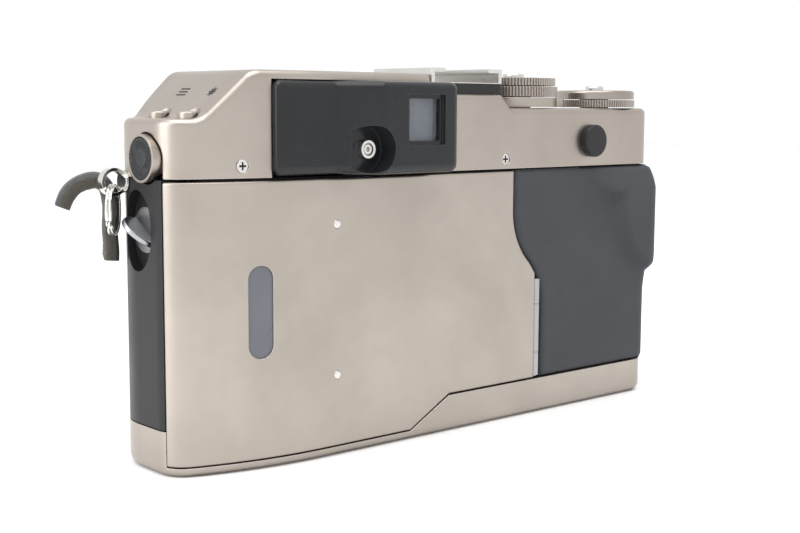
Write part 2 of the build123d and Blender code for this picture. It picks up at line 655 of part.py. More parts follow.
def on_outer_face(edge):
    """True for the edges round the outside face of the door block."""
    box = edge.bounding_box()
    if box.size.Y > 2.0 and box.min.Y < 7.1 and edge.center().X < 50:
        return False
    return box.max.Y > 8.0 and not (box.size.Z > 20 and edge.center().X > 30)


def door_rivets():
    rivets = []
    for x, z in RIVETS:
        rivet = rod_y(0.85, 13.8, 15.15, x, z)
        rivets.append(fillet(rivet.faces().sort_by(Axis.Y)[-1].edges(), 0.3))
    return group(rivets)


def film_window():
    return wall(0.3, SKIN, 15, 45) & slot_prism(*FILM_WINDOW, 5, 20)


def door_liner():
    liner = wall(SKIN, SKIN + 1.6, 9.8, 52.2) & block(-33.0, 49.4, 5, 20, 9.8, 52.2)
    liner -= slot_prism(38.9, 19.5, 40.7, 9.0, 5, 20)
    liner &= s_region(1.2, "cassette", -20, 30, 9.0, 53.0)
    liner -= block(-36, -29.6, 13.2, 14, HINGE_Z[1] - 0.2, HINGE_Z[2] + 0.2)
    return group([liner, door_catch()])


def door_hinge():
    leaf = block(HINGE[0] + 0.3, -29.8, 13.3, 13.8, HINGE_Z[1] + 0.2, HINGE_Z[2] - 0.2)
    leaf += rod_z(KNUCKLE, HINGE_Z[1] + 0.1, HINGE_Z[2] - 0.1, *HINGE)
    return leaf - rod_z(HINGE_PIN + HINGE_RUN, 0, 40, *HINGE)


def door_catch():
    return block(53.0, 54.8, 8.6, 11.4, 39.0, 43.0) & prism(SKIN, 0, 60)


def pressure_plate():
    plate = block(-21.5, 21.5, 9.95, 11.0, 14.6, 47.4)
    return fillet([e for e in plate.edges() if e.bounding_box().size.Y > 0.9
                   and e.bounding_box().size.X < 0.1 and e.bounding_box().size.Z < 0.1], 1.5)


def pressure_spring():
    return block(-14, 14, 11.75, 12.2, 28.0, 34.0)


# ---------------------------------------------------------------- moving pieces
def latch_boss():
    return rod_x(1.9, 50.0, 53.5, *LATCH) + rod_x(4.3, 53.5, 54.0, *LATCH)


def latch_key():
    """A half-round thumb fin that stands out of the dish, leaning back."""
    fin = extrude(Ellipse(4.2, 5.6), amount=0.5, both=True) & block(-9, 9, 0, 9, -2, 2)
    fin = fillet(fin.edges().filter_by(GeomType.ELLIPSE), 0.3)
    lean = Plane(origin=(54.0, -1.6, 44.6), x_dir=(0, 0.823, -0.568), z_dir=(0.389, -0.523, -0.758))
    return lean * fin & block(54.02, 62, -20, 20, 30, 60)


def latch_hook():
    """The arm on the key's spindle that holds the door's catch."""
    y, z = LATCH
    arm = rod_x(3.2, 50.2, 52.6, y, z) + block(50.2, 52.6, y, y + 6.9, z - 1.2, z + 1.2)
    return arm - rod_x(1.95, 50, 53, y, z)


def dioptre_dial():
    rim = rod_x(DIOPTRE_RADIUS, 54.6, 57.3, *DIOPTRE)
    rim -= rod_x(DIOPTRE_RADIUS - 0.5, 56.2, 60, *DIOPTRE)
    return rim + rod_x(1.4, 50.5, 54.6, *DIOPTRE)


def dioptre_face():
    face = rod_x(DIOPTRE_RADIUS - 0.55, 56.2, 57.7, *DIOPTRE)
    return fillet(face.faces().sort_by(Axis.X)[-1].edges(), 0.5)


def bracketing_lever():
    ring = rod_z(9.9, 68.4, 70.5, *SPEED_DIAL)
    tab_place = Pos(SPEED_DIAL[0] - 10.4, SPEED_DIAL[1] + 3.0, 69.3) * Rot(0, 0, -16)
    tab = tab_place * Box(4.6, 3.6, 1.7)
    tab = fillet([e for e in tab.edges() if is_upright(e)], 1.4)
    return ring + tab - rod_z(SPEED_POST + 0.05, 60, 80, *SPEED_DIAL)


def comp_dial():
    disc = knurled(10.0, 0.35, 90, 70.7, 72.9, SPEED_DIAL)
    return disc - rod_z(SPEED_POST + 0.05, 60, 80, *SPEED_DIAL)


def speed_dial():
    disc = knurled(9.5, 0.35, 84, 73.1, 74.8, SPEED_DIAL)
    disc -= rod_z(SPEED_POST + 0.05, 60, 74.1, *SPEED_DIAL)
    return disc - rod_z(LOCK_BUTTON + SLEEVE_GAP, 60, 80, *SPEED_DIAL)


def lock_button():
    button = rod_z(LOCK_BUTTON, 66.0, 75.8, *SPEED_DIAL)
    return fillet(button.faces().sort_by(Axis.Z)[-1].edges(), 0.4)


def focus_dial():
    disc = knurled(9.5, 0.3, 96, 68.4, 70.1, SHUTTER_DIAL)
    return disc - rod_z(SHUTTER_POST + 0.05, 60, 80, *SHUTTER_DIAL)


def main_switch():
    disc = rod_z(9.4, 70.3, 72.3, *SHUTTER_DIAL)
    disc = fillet(disc.faces().sort_by(Axis.Z)[-1].edges(), 0.7)
    disc -= rod_z(SHUTTER_POST + 0.05, 60, 71.7, *SHUTTER_DIAL)
    return disc - rod_z(RELEASE_BUTTON + SLEEVE_GAP, 60, 80, *SHUTTER_DIAL)


def shutter_button():
    button = rod_z(RELEASE_BUTTON, 64.0, 73.4, *SHUTTER_DIAL)
    return fillet(button.faces().sort_by(Axis.Z)[-1].edges(), 0.5)


def push_button(y):
    button = rod_z(BUTTON_RADIUS, 61.5, LEFT_DECK + 1.3, BUTTON_X, y)
    return fillet(button.faces().sort_by(Axis.Z)[-1].edges(), 0.4)


def remote_cap():
    cap = rod_y(3.65, 15.05, 16.8, *REMOTE)
    cap = fillet(cap.faces().sort_by(Axis.Y)[-1].edges(), 0.5)
    cap += rod_y(1.8, 13.9, 15.1, *REMOTE)
    return cap - rod_y(0.7, 13.0, 14.6, *REMOTE)


def release_button():
    """The lens release and the locking pin that it draws back."""
    button = rod_y(3.1, FRONT - 1.6, FRONT + 1.0, *RELEASE)
    button = fillet(button.faces().sort_by(Axis.Y)[0].edges(), 0.5)
    pin = rod_y(0.9, MOUNT_FACE - 0.9, -13.8, *lock_pin_place())
    return group([button, pin])


def battery_lid():
    lid = battery_space(0.1, 1.6, BATTERY_BAY - GAP)
    return lid - rod_z(4.1, -1, 3, *lid_lock_place())


def lid_lock_place():
    (left_x, y), (right_x, _) = BATTERIES
    return ((left_x + right_x) / 2, y)


def battery_lock():
    x, y = lid_lock_place()
    lock = rod_z(4.0, 0.1, 1.6, x, y)
    return lock - block(x - 3.6, x + 3.6, y - 0.5, y + 0.5, 0, 0.8)


def take_up_spool():
    spool = rod_z(5.2, 9.0, 52.0, *SPOOL)
    for angle in range(0, 360, 60):
        x = SPOOL[0] + 5.2 * math.cos(math.radians(angle))
        y = SPOOL[1] + 5.2 * math.sin(math.radians(angle))
        spool -= rod_z(0.5, 11.0, 50.0, x, y)
    spool += rod_z(2.0, 52.0, GEAR_Z[1], *SPOOL)
    return spool + gear(TEETH["spool_gear"], 1.5, *GEAR_Z, SPOOL)


def sprocket():
    shaft = rod_z(1.0, 12.0, GEAR_Z[1], *SPROCKET)
    shaft += gear(TEETH["sprocket_gear"], 0.8, *GEAR_Z, SPROCKET, sprocket_gear_phase())
    for low in (16.0, 44.0):
        shaft += gear_wheel(low, low + 2.2)
    return shaft + rod_z(2.0, 18.2, 44.0, *SPROCKET)


def gear_wheel(z0, z1):
    wheel = rod_z(3.9, z0, z1, *SPROCKET)
    for tooth in range(6):
        place = Pos(*SPROCKET, (z0 + z1) / 2) * Rot(0, 0, 60 * tooth) * Pos(3.8, 0, 0)
        wheel += place * Box(0.9, 1.2, 1.4)
    return wheel


def rewind_fork():
    fork = rod_z(2.0, 50.6, 60.0, *CASSETTE)
    fork += rod_z(4.2, 50.4, 52.6, *CASSETTE)
    x, y = CASSETTE
    return fork + block(x - 2.6, x + 2.6, y - 0.7, y + 0.7, 46.5, 50.6)


def idler_place():
    reach = GEAR_MODULE * (TEETH["spool_gear"] + TEETH["idler_gear"]) / 2
    return (SPOOL[0] - reach, SPOOL[1])


def sprocket_gear_phase():
    """Turns the sprocket's gear so that a gap faces the spool gear's nearest tooth."""
    along = math.degrees(math.atan2(SPROCKET[1] - SPOOL[1], SPROCKET[0] - SPOOL[0]))
    step = 360 / TEETH["spool_gear"]
    lead = round(along / step) * step - along
    ratio = TEETH["spool_gear"] / TEETH["sprocket_gear"]
    return along + 180 - lead * ratio + 180 / TEETH["sprocket_gear"]


def idler_gear():
    return gear(TEETH["idler_gear"], 0.85, *GEAR_Z, idler_place(), 180 / TEETH["idler_gear"])


def idler_stud():
    x, y = idler_place()
    return rod_z(0.8, TOP_SEAM - 0.9, GEAR_Z[1] + 0.4, x, y)


def motor_pinion():
    pinion = gear(TEETH["motor_pinion"], 0.7, *GEAR_Z, MOTOR)
    return pinion + rod_z(0.7, 54.1, GEAR_Z[1], *MOTOR)


def ring_place():
    x, y, z = LUG_EYE
    return Pos(x, y, z - 0.7 - RING_RADIUS) * Rot(0, 0, -40) * Rot(0, 90, 0)


def split_ring():
    return ring_place() * Torus(RING_RADIUS, RING_WIRE)


def strap_leather():
    """A leather strip folded over beside the ring, seen from the rear as an upside-down U."""
    outer, inner = [], []
    for index, (x, z) in enumerate(STRAP_MIDDLE):
        x0, z0 = STRAP_MIDDLE[max(index - 1, 0)]
        x1, z1 = STRAP_MIDDLE[min(index + 1, len(STRAP_MIDDLE) - 1)]
        scale = STRAP_HALF / math.hypot(x1 - x0, z1 - z0)
        side = (-(z1 - z0) * scale, (x1 - x0) * scale)
        outer.append((x + side[0], z + side[1]))
        inner.append((x - side[0], z - side[1]))
    x, y, turn = STRAP_PLACE
    strip = Pos(x, y, 0) * Rot(0, 0, turn) * side_prism(outer + inner[::-1], -STRAP_WIDTH, 0)
    return strip - ring_place() * Torus(RING_RADIUS, RING_WIRE + 0.25)


PARTS = [
    chassis, shutter, bottom_cover, tripod_socket, top_cover, front_cover, mount_ring,
    mount_screws, gold_contacts, side_panel, rear_grip, front_grip, eyepiece_housing,
    eyepiece_glass, finder_block, cover_windows, shoe_base, shoe_rails, sync_terminal,
    remote_socket, cover_screws, strap_lugs, circuit_board, drive_motor, batteries,
    dial_posts, hinge_leaf, hinge_pin, door_skin, door_rivets, film_window, door_liner,
    door_hinge, pressure_plate, pressure_spring, latch_boss, latch_key, latch_hook,
    dioptre_dial, dioptre_face, bracketing_lever, comp_dial, speed_dial, lock_button,
    focus_dial, main_switch, shutter_button, remote_cap, release_button, battery_lid,
    battery_lock, take_up_spool, sprocket, rewind_fork, idler_gear, motor_pinion,
    split_ring, strap_leather]

for make_part in PARTS:
    write(make_part.__name__, make_part())
for name, button_y in BUTTONS.items():
    write(name, push_button(button_y))
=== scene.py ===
import math

import bmesh
import bpy
from mathutils import Matrix, Vector, noise


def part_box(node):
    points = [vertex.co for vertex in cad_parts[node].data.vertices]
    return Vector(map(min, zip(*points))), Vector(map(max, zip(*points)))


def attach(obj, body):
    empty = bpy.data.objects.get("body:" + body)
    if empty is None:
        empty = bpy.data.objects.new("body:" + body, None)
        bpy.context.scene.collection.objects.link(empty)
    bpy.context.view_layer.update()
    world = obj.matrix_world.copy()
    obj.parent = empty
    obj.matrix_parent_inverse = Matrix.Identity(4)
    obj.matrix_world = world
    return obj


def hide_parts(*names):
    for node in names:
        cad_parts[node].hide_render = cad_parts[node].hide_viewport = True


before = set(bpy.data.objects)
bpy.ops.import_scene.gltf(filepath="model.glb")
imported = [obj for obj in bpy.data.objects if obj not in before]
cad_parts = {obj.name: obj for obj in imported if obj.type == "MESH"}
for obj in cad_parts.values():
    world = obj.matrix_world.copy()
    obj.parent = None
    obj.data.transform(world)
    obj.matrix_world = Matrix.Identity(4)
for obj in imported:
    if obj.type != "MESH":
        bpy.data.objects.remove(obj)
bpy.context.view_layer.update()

# The look of a compact metal film camera body. Metres, in the frame of the CAD model:
# +Z up, the film door faces +Y, the lens mount faces -Y, the cassette end is at +X.

MM = 0.001

# Camera
CAMERA_PLACE = Vector((0.17996, 0.21271, 0.06837))
CAMERA_TARGET = Vector((-0.00391, 0.00427, 0.03457))
CAMERA_ROLL = math.radians(0.274)
CAMERA_LENS = 59.24

# Rubber grip, in millimetres
GRIP_SEAM_TOP = -27.85         # X of the S-shaped edge above the curve
GRIP_SEAM_LOW = -37.15         # X of the S-shaped edge below the curve
GRIP_CURVE = (24.0, 46.0)      # Z between which the edge curves
GRIP_CORNER = 4.5
GRIP_INNER = 13.9              # Y of the rubber's hidden face
GRIP_INNER_END = -74.3         # X of the hidden face at the grip end
GRIP_INNER_CORNER = 1.3
GRIP_EDGE = 1.2                # rounding along the upper and lower edge
GRIP_SEAM_EDGE = 0.9           # rounding along the S-shaped edge
REAR_FACE = 15.0               # Y of the plain rear face
GRIP_NARROW_LOW = (1.5, 24.0, 34.0)    # how much narrower below, between two heights
GRIP_NARROW_TOP = (0.8, 51.0, 55.0)    # and how much above
# The left edge of the thumb rest, as (Z, X), and the ridge over it, as (X, Z)
THUMB_REST = ((26.7, -77.0), (30.0, -69.8), (36.2, -62.4), (45.4, -58.7), (49.5, -60.2))
THUMB_SLOPE = 4.5              # width of the slope at its edge
THUMB_FOOT = (25.5, 29.5)      # Z over which it rises out of the rubber
RIDGE = ((-60.2, 49.5), (-47.5, 53.3))
RIDGE_FADE = (-59.5, -45.5)    # X over which the ridge dies out towards the door
RIDGE_SLOPE = 2.2              # height of the slope under it
RIDGE_FALL = 0.75              # share of the height lost from the ridge up to the seam

# Marks and screws, in millimetres
CROSS_SCREWS = ((42.3, 57.4, 13.15), (-24.8, 57.2, 14.75))   # X, Z and the head's Y
SLOPE = ((49.6, 66.0), (40.2, 75.0))   # X and Z of the slope's lower and upper edge
CROSS_ARM = 0.72
CROSS_HALF = 0.19
CROSS_DEPTH = 0.39
MARK_SINK = 0.02               # how far a mark reaches into the metal
MARK_THICK = 0.06
MARK_RISE = 0.6                # from the middle of the slope up to the marks
BAR = (1.5, 0.16)              # half length and half width
BAR_PITCH = 0.8
STAR = (1.25, 0.62)            # outer and inner radius
TICK_HALF = 0.11
TICKS = (2.0, 1.1)             # length of every fourth line and of the others
TICK_THICK = 0.05

# Dioptre dial's face, in millimetres
FACE_RIBS = 34
FACE_DROP = 0.35               # from the top of the ribs down to the middle
RIB_HEIGHT = 0.34
RIB_START = (0.42, 0.54)       # share of the radius over which the ribs begin
RIB_END = (0.89, 0.97)         # and over which they end
FACE_EDGE = 0.8                # rounding at the rim
FACE_EDGE_SHARE = 0.25

# Ring and leather tab, in millimetres
RING_TURN = math.radians(-40)
RING_END = 2.2                 # angle at which the wire starts, in radians
RING_STEP = (0.46, 0.54)       # share of the wire over which it changes turns
CAD_WIRE = 0.65                # radius of the CAD ring's single wire
WIRE = 0.34                    # radius of the wire of each turn
TAB_PLACE = (57.6, -8.0)       # X and Y of the tab's inner edge
TAB_TURN = math.radians(-27)
TAB_WIDTH = 10.1
TAB_THICK = 2.8
TAB_EDGE = 0.6                 # rounding along the cut edges
TAB_WAVE = 0.16                # unevenness of the smooth side
TAB_FRAY = 0.12                # and of the rough side
TAB_LINE = ((8.9, 49.3), (8.0, 51.3), (6.2, 53.2), (3.9, 54.2), (1.9, 54.0),
            (0.5, 52.4), (-0.1, 48.8), (0.2, 45.3), (0.0, 41.7), (0.1, 39.2))

# Which CAD nodes share a finish
FINISHES = {
    "titanium": ("top_cover", "bottom_cover", "front_cover", "door_skin", "bracketing_lever",
                 "drive_button", "iso_button", "remote_socket", "battery_lid"),
    "dial_metal": ("speed_dial", "comp_dial", "focus_dial", "main_switch", "dioptre_dial"),
    "bright_metal": ("mount_ring", "mount_screws", "door_rivets", "cover_screws", "strap_lugs",
                     "split_ring", "shutter_button", "lock_button", "shoe_rails",
                     "release_button", "sync_terminal", "tripod_socket"),
    "steel": ("hinge_leaf", "hinge_pin", "door_hinge", "pressure_plate", "pressure_spring",
              "latch_hook", "latch_boss", "battery_lock", "drive_motor", "batteries",
              "dial_posts", "rewind_fork"),
    "key_metal": ("latch_key",),
    "rubber": ("rear_grip", "front_grip"),
    "matte_black": ("chassis", "door_liner", "side_panel", "shoe_base", "remote_cap",
                    "finder_block", "take_up_spool", "sprocket", "idler_gear", "motor_pinion"),
    "gloss_black": ("eyepiece_housing", "dioptre_face"),
    "shutter_blade": ("shutter",),
    "glass": ("eyepiece_glass", "cover_windows"),
    "window_grey": ("film_window",),
    "gold": ("gold_contacts",),
    "circuit": ("circuit_board",),
    "leather": ("strap_leather",),
}


# ---------------------------------------------------------------- node helpers
class Paint:
    """A material being built: its node tree, its shader and the place on the surface."""

    def __init__(self, name):
        self.material = bpy.data.materials.new(name)
        self.material.use_nodes = True
        self.tree = self.material.node_tree
        self.shader = self.tree.nodes["Principled BSDF"]
        self.place = self.add("ShaderNodeTexCoord").outputs["Object"]

    def add(self, kind, **settings):
        node = self.tree.nodes.new(kind)
        for name, value in settings.items():
            setattr(node, name, value)
        return node

    def join(self, source, target):
        self.tree.links.new(source, target)

    def value(self, socket, value):
        self.shader.inputs[socket].default_value = value

    def noise(self, size_mm, detail=3.0, rough=0.5):
        node = self.add("ShaderNodeTexNoise")
        node.inputs["Scale"].default_value = 1.0 / (size_mm * MM)
        node.inputs["Detail"].default_value = detail
        node.inputs["Roughness"].default_value = rough
        self.join(self.place, node.inputs["Vector"])
        return node.outputs["Fac"]

    def cells(self, size_mm, feature="F1"):
        node = self.add("ShaderNodeTexVoronoi", feature=feature)
        node.inputs["Scale"].default_value = 1.0 / (size_mm * MM)
        self.join(self.place, node.inputs["Vector"])
        return node.outputs["Distance"]

    def spread(self, source, low, high, start=0.3, end=0.7):
        node = self.add("ShaderNodeMapRange")
        ends = {"From Min": start, "From Max": end, "To Min": low, "To Max": high}
        for name, value in ends.items():
            node.inputs[name].default_value = value
        self.join(source, node.inputs["Value"])
        return node.outputs["Result"]

    def blend(self, factor, first, second):
        node = self.add("ShaderNodeMix", data_type="RGBA")
        factor_socket, first_socket, second_socket = node.inputs["Factor"], node.inputs[6], node.inputs[7]
        for socket, value in ((factor_socket, factor), (first_socket, first), (second_socket, second)):
            if isinstance(value, bpy.types.NodeSocket):
                self.join(value, socket)
            elif isinstance(value, tuple):
                socket.default_value = (*value, 1.0)
            else:
                socket.default_value = value
        return node.outputs[2]

    def times(self, first, second):
        node = self.add("ShaderNodeMath", operation="MULTIPLY")
        self.join(first, node.inputs[0])
        if isinstance(second, bpy.types.NodeSocket):
            self.join(second, node.inputs[1])
        else:
            node.inputs[1].default_value = second
        return node.outputs["Value"]

    def plus(self, first, second):
        node = self.add("ShaderNodeMath", operation="ADD")
        self.join(first, node.inputs[0])
        self.join(second, node.inputs[1])
        return node.outputs["Value"]

    def edges(self, radius_mm):
        """The rounded normal, and a mask that is 1 on worn edges and 0 on flat faces."""
        bevel = self.add("ShaderNodeBevel", samples=4)
        bevel.inputs["Radius"].default_value = radius_mm * MM
        geometry = self.add("ShaderNodeNewGeometry")
        dot = self.add("ShaderNodeVectorMath", operation="DOT_PRODUCT")
        self.join(bevel.outputs["Normal"], dot.inputs[0])
        self.join(geometry.outputs["Normal"], dot.inputs[1])
        return bevel.outputs["Normal"], self.spread(dot.outputs["Value"], 1.0, 0.0, 0.82, 0.995)

    def bump(self, height, depth_mm, normal=None, strength=1.0):
        node = self.add("ShaderNodeBump")
        node.inputs["Strength"].default_value = strength
        node.inputs["Distance"].default_value = depth_mm * MM
        self.join(height, node.inputs["Height"])
        if normal:
            self.join(normal, node.inputs["Normal"])
        return node.outputs["Normal"]

    def colour(self, source):
        self.join(source, self.shader.inputs["Base Color"])

    def roughness(self, source):
        self.join(source, self.shader.inputs["Roughness"])

    def normal(self, source):
        self.join(source, self.shader.inputs["Normal"])


def metal(name, dull, clean, worn, rough, grain_mm, edge_mm=0.25):
    """Blasted or brushed metal with cloudy handling marks and paler edges."""
    paint = Paint(name)
    rounded, edge = paint.edges(edge_mm)
    clouds = paint.noise(26.0, detail=4.0, rough=0.55)
    base = paint.blend(paint.spread(clouds, 0.0, 1.0), dull, clean)
    grain = paint.noise(grain_mm, detail=2.0)
    base = paint.blend(paint.spread(grain, 0.0, 0.10), base, dull)
    smudges = paint.noise(7.0, detail=5.0, rough=0.6)
    base = paint.blend(paint.spread(smudges, 0.0, 0.25, 0.5, 0.75), base, dull)
    paint.colour(paint.blend(paint.times(edge, 0.7), base, worn))
    paint.roughness(paint.plus(paint.spread(smudges, rough - 0.05, rough + 0.07), paint.times(edge, -0.06)))
    paint.value("Metallic", 1.0)
    paint.normal(paint.bump(grain, 0.012, rounded, 0.35))
    return paint.material


def titanium():
    return metal("titanium", (0.375, 0.335, 0.297), (0.455, 0.41, 0.365), (0.66, 0.62, 0.57), 0.34, 0.09)


def dial_metal():
    return metal("dial_metal", (0.34, 0.30, 0.27), (0.45, 0.405, 0.365), (0.74, 0.71, 0.67), 0.28, 0.10, 0.12)


def bright_metal():
    return metal("bright_metal", (0.60, 0.59, 0.57), (0.76, 0.75, 0.73), (0.92, 0.91, 0.90), 0.16, 0.25, 0.12)


def steel():
    return metal("steel", (0.34, 0.34, 0.35), (0.45, 0.45, 0.46), (0.66, 0.66, 0.67), 0.34, 0.15, 0.12)


def key_metal():
    return metal("key_metal", (0.36, 0.37, 0.39), (0.44, 0.45, 0.47), (0.80, 0.80, 0.80), 0.28, 0.12, 0.18)


def gold():
    return metal("gold", (0.62, 0.42, 0.14), (0.80, 0.58, 0.24), (0.90, 0.72, 0.40), 0.22, 0.20, 0.1)


def plastic(name, dark, pale, worn, rough, pebble_mm, pebble_depth_mm, edge_mm=0.3, specular=0.5):
    """Moulded plastic or rubber: fine pebbles, dust-grey patches and rubbed edges."""
    paint = Paint(name)
    rounded, edge = paint.edges(edge_mm)
    patches = paint.noise(14.0, detail=4.0, rough=0.6)
    pebbles = paint.cells(pebble_mm)
    base = paint.blend(paint.spread(patches, 0.0, 1.0), dark, pale)
    dust = paint.noise(0.6, detail=2.0)
    base = paint.blend(paint.spread(dust, 0.0, 0.25, 0.6, 0.8), base, worn)
    paint.colour(paint.blend(paint.times(edge, 0.45), base, worn))
    paint.roughness(paint.spread(patches, rough - 0.05, rough + 0.06))
    paint.value("Specular IOR Level", specular)
    paint.normal(paint.bump(pebbles, pebble_depth_mm, rounded, 0.6))
    return paint.material


def rubber():
    return plastic("rubber", (0.036, 0.039, 0.045), (0.050, 0.053, 0.060), (0.10, 0.102, 0.106),
                   0.60, 0.22, 0.03, 0.5, 0.3)


def matte_black():
    return plastic("matte_black", (0.011, 0.011, 0.012), (0.018, 0.018, 0.020), (0.06, 0.06, 0.06),
                   0.42, 0.16, 0.015, 0.2, 0.3)


def gloss_black():
    return plastic("gloss_black", (0.010, 0.011, 0.012), (0.014, 0.015, 0.017), (0.05, 0.05, 0.055),
                   0.16, 1.4, 0.006, 0.35, 0.35)


def shutter_blade():
    return plastic("shutter_blade", (0.018, 0.019, 0.022), (0.03, 0.031, 0.035), (0.09, 0.09, 0.10),
                   0.36, 0.3, 0.004, 0.1)


def window_grey():
    return plastic("window_grey", (0.105, 0.112, 0.130), (0.125, 0.132, 0.150), (0.17, 0.175, 0.19),
                   0.30, 0.5, 0.004, 0.15)


def circuit():
    paint = Paint("circuit")
    tracks = paint.cells(1.1, "DISTANCE_TO_EDGE")
    edge = paint.spread(tracks, 1.0, 0.0, 0.02, 0.08)
    paint.colour(paint.blend(edge, (0.012, 0.10, 0.045), (0.05, 0.22, 0.10)))
    paint.roughness(paint.spread(paint.noise(2.0), 0.3, 0.45))
    paint.normal(paint.bump(tracks, 0.03))
    return paint.material


def glass():
    """Coated glass over a dark interior."""
    paint = Paint("glass")
    smears = paint.noise(5.0, detail=5.0, rough=0.65)
    paint.colour(paint.blend(paint.spread(smears, 0.0, 1.0), (0.55, 0.62, 0.72), (0.70, 0.76, 0.84)))
    paint.roughness(paint.spread(smears, 0.02, 0.09))
    paint.value("Transmission Weight", 0.85)
    paint.value("IOR", 1.5)
    return paint.material


def leather():
    """The smooth grain side of the strap."""
    paint = Paint("leather")
    rounded, edge = paint.edges(0.4)
    creases = paint.noise(1.1, detail=6.0, rough=0.65)
    pores = paint.cells(0.35)
    base = paint.blend(paint.spread(creases, 0.0, 1.0), (0.020, 0.021, 0.024), (0.055, 0.058, 0.064))
    paint.colour(paint.blend(paint.times(edge, 0.6), base, (0.10, 0.092, 0.08)))
    paint.roughness(paint.spread(creases, 0.42, 0.62))
    paint.normal(paint.bump(paint.plus(creases, paint.times(pores, 0.6)), 0.12, rounded, 0.8))
    return paint.material


def suede():
    """The rough flesh side and the cut edges of the strap."""
    paint = Paint("suede")
    fibres = paint.noise(0.30, detail=6.0, rough=0.8)
    tufts = paint.noise(1.3, detail=4.0, rough=0.7)
    mottle = paint.spread(fibres, 0.0, 1.0, 0.35, 0.65)
    base = paint.blend(mottle, (0.008, 0.007, 0.005), (0.10, 0.088, 0.062))
    paint.colour(paint.blend(paint.spread(tufts, 0.0, 0.6), base, (0.055, 0.048, 0.036)))
    paint.roughness(paint.spread(fibres, 0.85, 1.0))
    paint.value("Sheen Weight", 0.35)
    paint.value("Sheen Roughness", 0.5)
    paint.normal(paint.bump(paint.plus(fibres, tufts), 0.35))
    return paint.material


MATERIALS = {name: maker() for name, maker in (
    ("titanium", titanium), ("dial_metal", dial_metal), ("bright_metal", bright_metal),
    ("steel", steel), ("key_metal", key_metal), ("gold", gold), ("rubber", rubber),
    ("matte_black", matte_black), ("gloss_black", gloss_black),
    ("shutter_blade", shutter_blade), ("window_grey", window_grey), ("circuit", circuit),
    ("glass", glass), ("leather", leather), ("suede", suede))}


def finish_cad_nodes():
    """Gives every CAD node its material."""
    for finish, nodes in FINISHES.items():
        for node in nodes:
            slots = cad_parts[node].data.materials
            slots.clear()
            slots.append(MATERIALS[finish])


# ---------------------------------------------------------------- mesh helpers
def piece(name, points, faces, finishes, body, replaces=(), smooth=True):
    """A closed mesh given in millimetres, riding on a body. finishes is one material's name or several."""
    mesh = bpy.data.meshes.new(name)
    mesh.from_pydata([Vector(point) * MM for point in points], [], faces)
    work = bmesh.new()
    work.from_mesh(mesh)
    bmesh.ops.recalc_face_normals(work, faces=work.faces)
    work.to_mesh(mesh)
    work.free()
    mesh.polygons.foreach_set("use_smooth", [smooth] * len(mesh.polygons))
    obj = bpy.data.objects.new(name, mesh)
    bpy.context.collection.objects.link(obj)
    for finish in (finishes,) if isinstance(finishes, str) else finishes:
        mesh.materials.append(MATERIALS[finish])
    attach(obj, body)
    if replaces:
        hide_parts(*replaces)
    return obj


def grid_faces(rows, columns, start=0):
    return [(start + r * columns + c, start + r * columns + c + 1,
             start + (r + 1) * columns + c + 1, start + (r + 1) * columns + c)
            for r in range(rows - 1) for c in range(columns - 1)]


def rim_faces(rows, columns, first, second):
    """Faces that join the borders of two equal grids."""
    ring = [c for c in range(columns)]
    ring += [r * columns + columns - 1 for r in range(1, rows)]
    ring += [(rows - 1) * columns + c for c in range(columns - 2, -1, -1)]
    ring += [r * columns for r in range(rows - 2, 0, -1)]
    return [(first + a, first + b, second + b, second + a) for a, b in zip(ring, ring[1:] + ring[:1])]


def tube(path, radius, sides=10):
    """Points and faces of a round wire along a path, with closed ends."""
    points, faces = [], []
    for index, place in enumerate(path):
        ahead = (path[min(index + 1, len(path) - 1)] - path[max(index - 1, 0)]).normalized()
        across = ahead.cross(Vector((0, 0, 1)) if abs(ahead.z) < 0.9 else Vector((1, 0, 0))).normalized()
        up = across.cross(ahead)
        for side in range(sides):
            angle = 2 * math.pi * side / sides
            points.append(place + (across * math.cos(angle) + up * math.sin(angle)) * radius)
    for index in range(len(path) - 1):
        for side in range(sides):
            a, b = index * sides + side, index * sides + (side + 1) % sides
            faces.append((a, b, b + sides, a + sides))
    faces.append(tuple(range(sides)))
    faces.append(tuple(range((len(path) - 1) * sides, len(path) * sides)))
    return points, faces


def ease(value):
    value = min(max(value, 0.0), 1.0)
    return value * value * (3 - 2 * value)


def step_up(ends, value):
    """Rises smoothly from 0 at the first end to 1 at the second."""
    return ease((value - ends[0]) / (ends[1] - ends[0]))


def along(points, value):
    """The height of a line through (place, height) points, at value."""
    for (a, low), (b, high) in zip(points, points[1:]):
        if value <= b:
            return low + (high - low) * max(value - a, 0.0) / (b - a)
    return points[-1][1]


# ---------------------------------------------------------------- rear grip
def seam_x(z):
    """X of the S-shaped edge between the door and the rubber."""
    low, high = GRIP_CURVE
    half = (high - low) / 2
    step = GRIP_SEAM_TOP - GRIP_SEAM_LOW
    radius = (step ** 2 + (2 * half) ** 2) / (4 * step)
    if z <= low:
        return GRIP_SEAM_LOW
    if z >= high:
        return GRIP_SEAM_TOP
    reach = z - low if z < low + half else high - z
    bow = radius - math.sqrt(radius ** 2 - reach ** 2)
    return GRIP_SEAM_LOW + bow if z < low + half else GRIP_SEAM_TOP - bow


def grip_height(x, z, top):
    """How far the rubber stands out from the plain rear face."""
    edge = along(THUMB_REST, z)
    rest = ease((edge - x) / THUMB_SLOPE) * step_up(THUMB_FOOT, z)
    (x0, z0), (x1, z1) = RIDGE
    ridge_z = z0 + (x - x0) * (z1 - z0) / (x1 - x0)
    ridge_z = max(ridge_z, z0)
    fade = 1 - step_up(RIDGE_FADE, x)
    above = z - ridge_z
    if above < 0:
        return max(rest, fade * ease(1 + above / RIDGE_SLOPE))
    return max(rest, fade) * (1 - RIDGE_FALL * above / max(top - ridge_z, 0.5))


